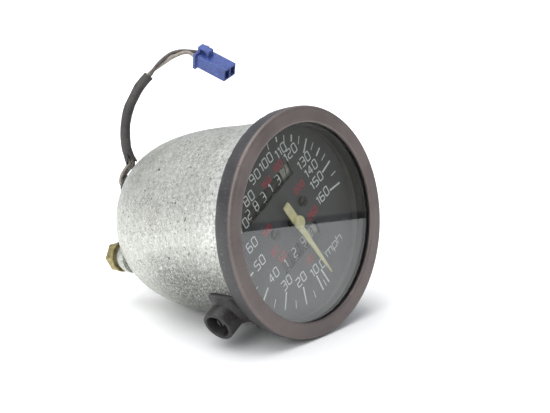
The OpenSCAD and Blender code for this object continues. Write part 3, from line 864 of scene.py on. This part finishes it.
BEZEL_PROFILE = [
    (36.0, -75.0), (36.0, -75.55), (36.08, -75.8), (36.3, -75.95), (36.7, -76.0), (38.5, -75.93),
    (40.2, -75.9), (40.9, -75.97), (41.35, -75.86), (41.7, -75.6), (41.92, -75.2), (42.0, -74.7),
    (41.95, -73.6), (41.72, -71.2), (41.45, -69.6), (41.32, -68.7), (41.1, -68.2), (40.7, -67.88),
    (40.2, -67.8), (38.6, -67.8), (38.4, -67.95), (38.4, -68.7), (40.2, -68.7), (40.6, -69.1),
    (40.6, -75.0)]
CRIMPS, CRIMP_DEPTH = 24, 0.16


def crimp(angle, radius, y):
    """The rolled rear edge is pressed in at regular places."""
    if y < -69.4 or radius < 40:
        return 0
    return -CRIMP_DEPTH * max(0, math.cos(angle * CRIMPS)) ** 6


bezel = lathe("bezel_ring", BEZEL_PROFILE, 288, wobble=crimp, smooth_angle=50)
finish_piece(bezel, "bezel", "head", "bezel", "bezel")

# The gasket's inner lip, which shows as a black ring through the edge of the glass.
GASKET_PROFILE = [(35.0, -72.3), (35.3, -72.4), (35.3, -68.9), (35.15, -68.8), (34.95, -69.0)]
gasket_lip = lathe("gasket_lip", GASKET_PROFILE, 160)
finish_piece(gasket_lip, "gasket", "head", "lens_gasket")

# ---- dial printing -----------------------------------------------------------------

# Each speed's mark: its angle in degrees and its inner radius. The small marks have angles only.
MAJOR = {0: (-84.4, 24.8), 10: (-92.3, 24.8), 20: (-111.8, 24.8), 30: (-133.8, 25.3),
         40: (-156.5, 26.1), 50: (-178, 26.5), 60: (-198, 27.0), 70: (-217, 29.2),
         80: (-236, 29.0), 90: (-254.5, 29.5), 100: (-274, 29.8), 110: (-293.7, 29.9),
         120: (-309.2, 29.2), 130: (-324.7, 26.2), 140: (-339.5, 28.1), 150: (-353.4, 25.5),
         160: (-371.6, 25.2)}
MINOR = [-88, -101.6, -122.6, -145, -167, -188, -207.5, -226.5, -245, -264, -284, -301.4, -317, -332,
         -346.5, -362.5]
# The numbers' centres.
NUMERALS = {160: (20.2, -3.9), 150: (20.9, 2.7), 140: (21.1, 8.1), 130: (19.7, 12.9),
            120: (15.6, 19.9), 110: (11.8, 23.7), 100: (3.0, 25.3), 90: (-4.9, 24.9),
            80: (-12.1, 20.9), 70: (-20.3, 15.2), 60: (-21.0, 7.1), 50: (-21.8, -0.5),
            40: (-18.9, -8.9), 30: (-15.3, -15.7), 20: (-8.5, -20.1), 10: (-0.7, -22.6),
            0: (4.4, -23.4)}
KILOMETRES = {180: (7.0, 20.2), 160: (-1.4, 19.5), 220: (11.6, 7.0), 260: (11.6, -5.2),
              100: (-11.7, 5.8), 80: (-13.1, -2.7), 60: (-11.1, -7.0), 20: (-0.3, -17.6)}
UNIT_AT = (13.6, -22.1)
TICK_R = 31.7
MAJOR_WIDTH = 0.75
MINOR_WIDTH, MINOR_R = 0.4, 28.6
DIAL_LIFT, DRUM_LIFT = 0.03, 0.02


def on_dial(point):
    return (point.x, DIAL_Y - DIAL_LIFT, point.y)


def tick(angle, inner, width):
    """A mark from its inner radius out to the common circle."""
    direction = Vector((math.cos(math.radians(angle)), math.sin(math.radians(angle))))
    return ([direction * inner, direction * TICK_R], False, width)


white = [tick(angle, inner, MAJOR_WIDTH) for angle, inner in MAJOR.values()]
white += [tick(angle, MINOR_R, MINOR_WIDTH) for angle in MINOR]
for value, centre in NUMERALS.items():
    white += lettering(str(value), centre, NUMERAL_TYPE)
white += lettering("mph", UNIT_AT, UNIT_TYPE)
red = []
for value, centre in KILOMETRES.items():
    red += lettering(str(value), centre, KILOMETRE_TYPE)
finish_piece(ribbons("dial_print_white", white, on_dial), "print_white", "head", "dial_plate")
finish_piece(ribbons("dial_print_red", red, on_dial), "print_red", "head", "dial_plate")

# ---- number drums --------------------------------------------------------------------

DIGIT_TURN = math.radians(36)


def drum_digits(name, body, x, z, shown, ink, slot):
    """All ten digits round a drum, in counting order, with one of them at the window."""
    strokes = []
    for k in range(10):
        row = -k * DIGIT_TURN * DRUM_R
        text = str((shown + k) % 10)
        strokes += lettering(text, (0, row), DRUM_TYPE)

    def on_drum(point):
        turn = point.y / DRUM_R
        reach = DRUM_R + DRUM_LIFT
        return (x + point.x, AXLE_Y - reach * math.cos(turn), z + reach * math.sin(turn))

    finish_piece(ribbons(name, strokes, on_drum, 0.7), ink, body, slot)


for i, digit in enumerate((2, 8, 3, 1, 3, 7)):
    drum_digits(f"digits_total_{i + 1}", f"total_drum_{i + 1}", ODO_X + i * ODO_PITCH, ODO_Z, digit,
                "print_black" if i == 5 else "print_white", f"odo_drum_{i + 1}")
for i, digit in enumerate((1, 2, 9, 4)):
    drum_digits(f"digits_trip_{i + 1}", f"trip_wheel_{i + 1}", TRIP_X + i * TRIP_PITCH, TRIP_Z, digit,
                "print_black" if i == 3 else "print_white", f"trip_drum_{i + 1}")

# ---- needle --------------------------------------------------------------------------

def make_needle():
    """A tapered blade with a low ridge along its middle, cut off square at its tail."""
    stations = [(-9.0, 1.4), (-8.4, 1.75), (-3, 1.8), (0, 1.7), (4, 1.3), (20, 0.66),
                (26.4, 0.34), (27, 0.2)]
    back, edge, slope = -69.0, -69.45, -69.55
    verts, faces = [], []
    for along, half in stations:
        crest = -69.8 if abs(along) < 20 else -69.72
        verts += [(along, back, -half), (along, edge, -half), (along, slope, -half * 0.82),
                  (along, crest, 0), (along, slope, half * 0.82), (along, edge, half),
                  (along, back, half)]
    for i in range(len(stations) - 1):
        for k in range(7):
            a, b = 7 * i + k, 7 * i + (k + 1) % 7
            faces.append((a, b, b + 7, a + 7))
    faces += [tuple(range(7)), tuple(range(len(verts) - 1, len(verts) - 8, -1))]
    blade = mesh_object("needle_blade", verts, faces, 25)
    blade.data.transform(Matrix.Rotation(math.radians(-NEEDLE_REST), 4, "Y"))
    return blade


finish_piece(make_needle(), "cream", "pointer", "needle", "needle")

# ---- trip reset tube -----------------------------------------------------------------

def make_guide():
    """The tube round the reset spindle."""
    outline = [(4.35, -39.6), (4.35, -44.6), (4.6, -44.95), (5.4, -45.0), (5.85, -44.8),
               (RESET_TUBE_R, -44.3), (RESET_TUBE_R, -36.0), (1.6, -36.0), (1.6, -39.5), (4.1, -39.5)]
    tube = lathe("reset_tube", outline, 72)
    tube.data.transform(Matrix.Rotation(math.radians(-90), 4, "Z"))
    return move_to(tube, (0, AXLE_Y, TRIP_Z))


def bowl_radius(y):
    """The bowl's outside radius over its straight stretch and its flare towards the bezel."""
    return BOWL_R - 0.1 * (y - BOWL_SIDE_Y) + 0.8 * ease((-64 - y) / 4)


def make_saddle():
    """A round-cornered plate that lies on the bowl and swells up to the reset tube."""
    corners = [(-20.5, -67.2), (-2.8, -67.2), (-2.8, -49.6), (-20.5, -49.6)]
    outline = fine(rounded(corners, 4.5, closed=True, steps=8), 1.2, True)
    swell, swell_width = 2.4, 3.2
    middle = Vector((TRIP_Z, AXLE_Y))
    rings = [(1.0, -0.4), (1.0, 0.7), (0.985, 0.95), (0.955, 1.05), (0.86, 1.1), (0.76, 1.1),
             (0.66, 1.1), (0.56, 1.1), (0.46, 1.1)]
    verts, faces = [], []
    for share, lift in rings:
        for p in outline:
            z, y = middle + (p - middle) * share
            clear = (Vector((z, y)) - middle).length - RESET_TUBE_R
            fillet = swell * max(0.0, 1 - clear / swell_width) ** 2 if share < 0.95 else 0.0
            reach = bowl_radius(y) + lift + min(fillet, 3.0)
            verts.append((-math.sqrt(reach * reach - z * z), y, z))
    count = len(outline)
    for i in range(len(rings) - 1):
        for k in range(count):
            a, b = i * count + k, i * count + (k + 1) % count
            faces.append((a, b, b + count, a + count))
    return mesh_object("reset_saddle", verts, faces, 50)


finish_piece(make_guide(), "guide", "head", "reset_guide", "reset_guide")
finish_piece(make_saddle(), "guide", "head", "reset_guide", "reset_guide")

# ---- CAD nodes that stay ---------------------------------------------------------------

KEPT = {
    "lens": ["lens"], "gasket": ["lens_gasket"], "surround": ["dial_surround"], "dial": ["dial_plate"],
    "black_steel": ["dial_screws", "reset_spindle"], "stud": ["studs"], "casting": ["frame_casting"],
    "steel": ["stop_pin", "movement_screws", "case_screws", "odo_axle", "odo_pinion_rod",
              "trip_pinion_rod", "idler_pin", "needle_spindle", "input_shaft", "cross_shaft",
              "layshaft", "pillars"],
    "brass": ["front_plate", "spindle_bridge", "connector_terminals"],
    "bronze": ["drive_bush", "hairspring"],
    "yellow": ["stud_washers", "stud_nuts"], "rubber": ["lamp_holder"], "bulb": ["lamp_bulb"],
    "connector": ["connector_shell"], "cream": ["needle_cap"],
    "aluminium": ["speed_cup"], "magnet": ["magnet"], "white_drum": ["odo_drum_6", "trip_drum_4"],
    "drum": [f"odo_drum_{i}" for i in range(1, 6)] + [f"trip_drum_{i}" for i in range(1, 4)],
    "nylon": ["trip_idler"] + [f"odo_pinion_{i}" for i in range(1, 6)]
             + [f"trip_pinion_{i}" for i in range(1, 4)],
}
SOFT_EDGES = {"connector_shell": 0.25, "stud_nuts": 0.2, "stud_washers": 0.2, "studs": 0.15,
              "lamp_holder": 0.3, "case_screws": 0.2, "needle_cap": 0.15, "dial_screws": 0.12,
              "frame_casting": 0.15, "input_shaft": 0.1, "reset_spindle": 0.15}


def keep_node(name, look):
    node = nodes[name]
    node.data.materials.clear()
    node.data.materials.append(LOOKS[look])
    if name in SOFT_EDGES:
        weld = node.modifiers.new("weld", "WELD")
        weld.merge_threshold = 2e-6
        bevel = node.modifiers.new("bevel", "BEVEL")
        bevel.width = SOFT_EDGES[name] * MM
        bevel.segments = 3
        bevel.limit_method = "ANGLE"
        bevel.angle_limit = math.radians(35)


for look_name, names in KEPT.items():
    for node_name in names:
        keep_node(node_name, look_name)
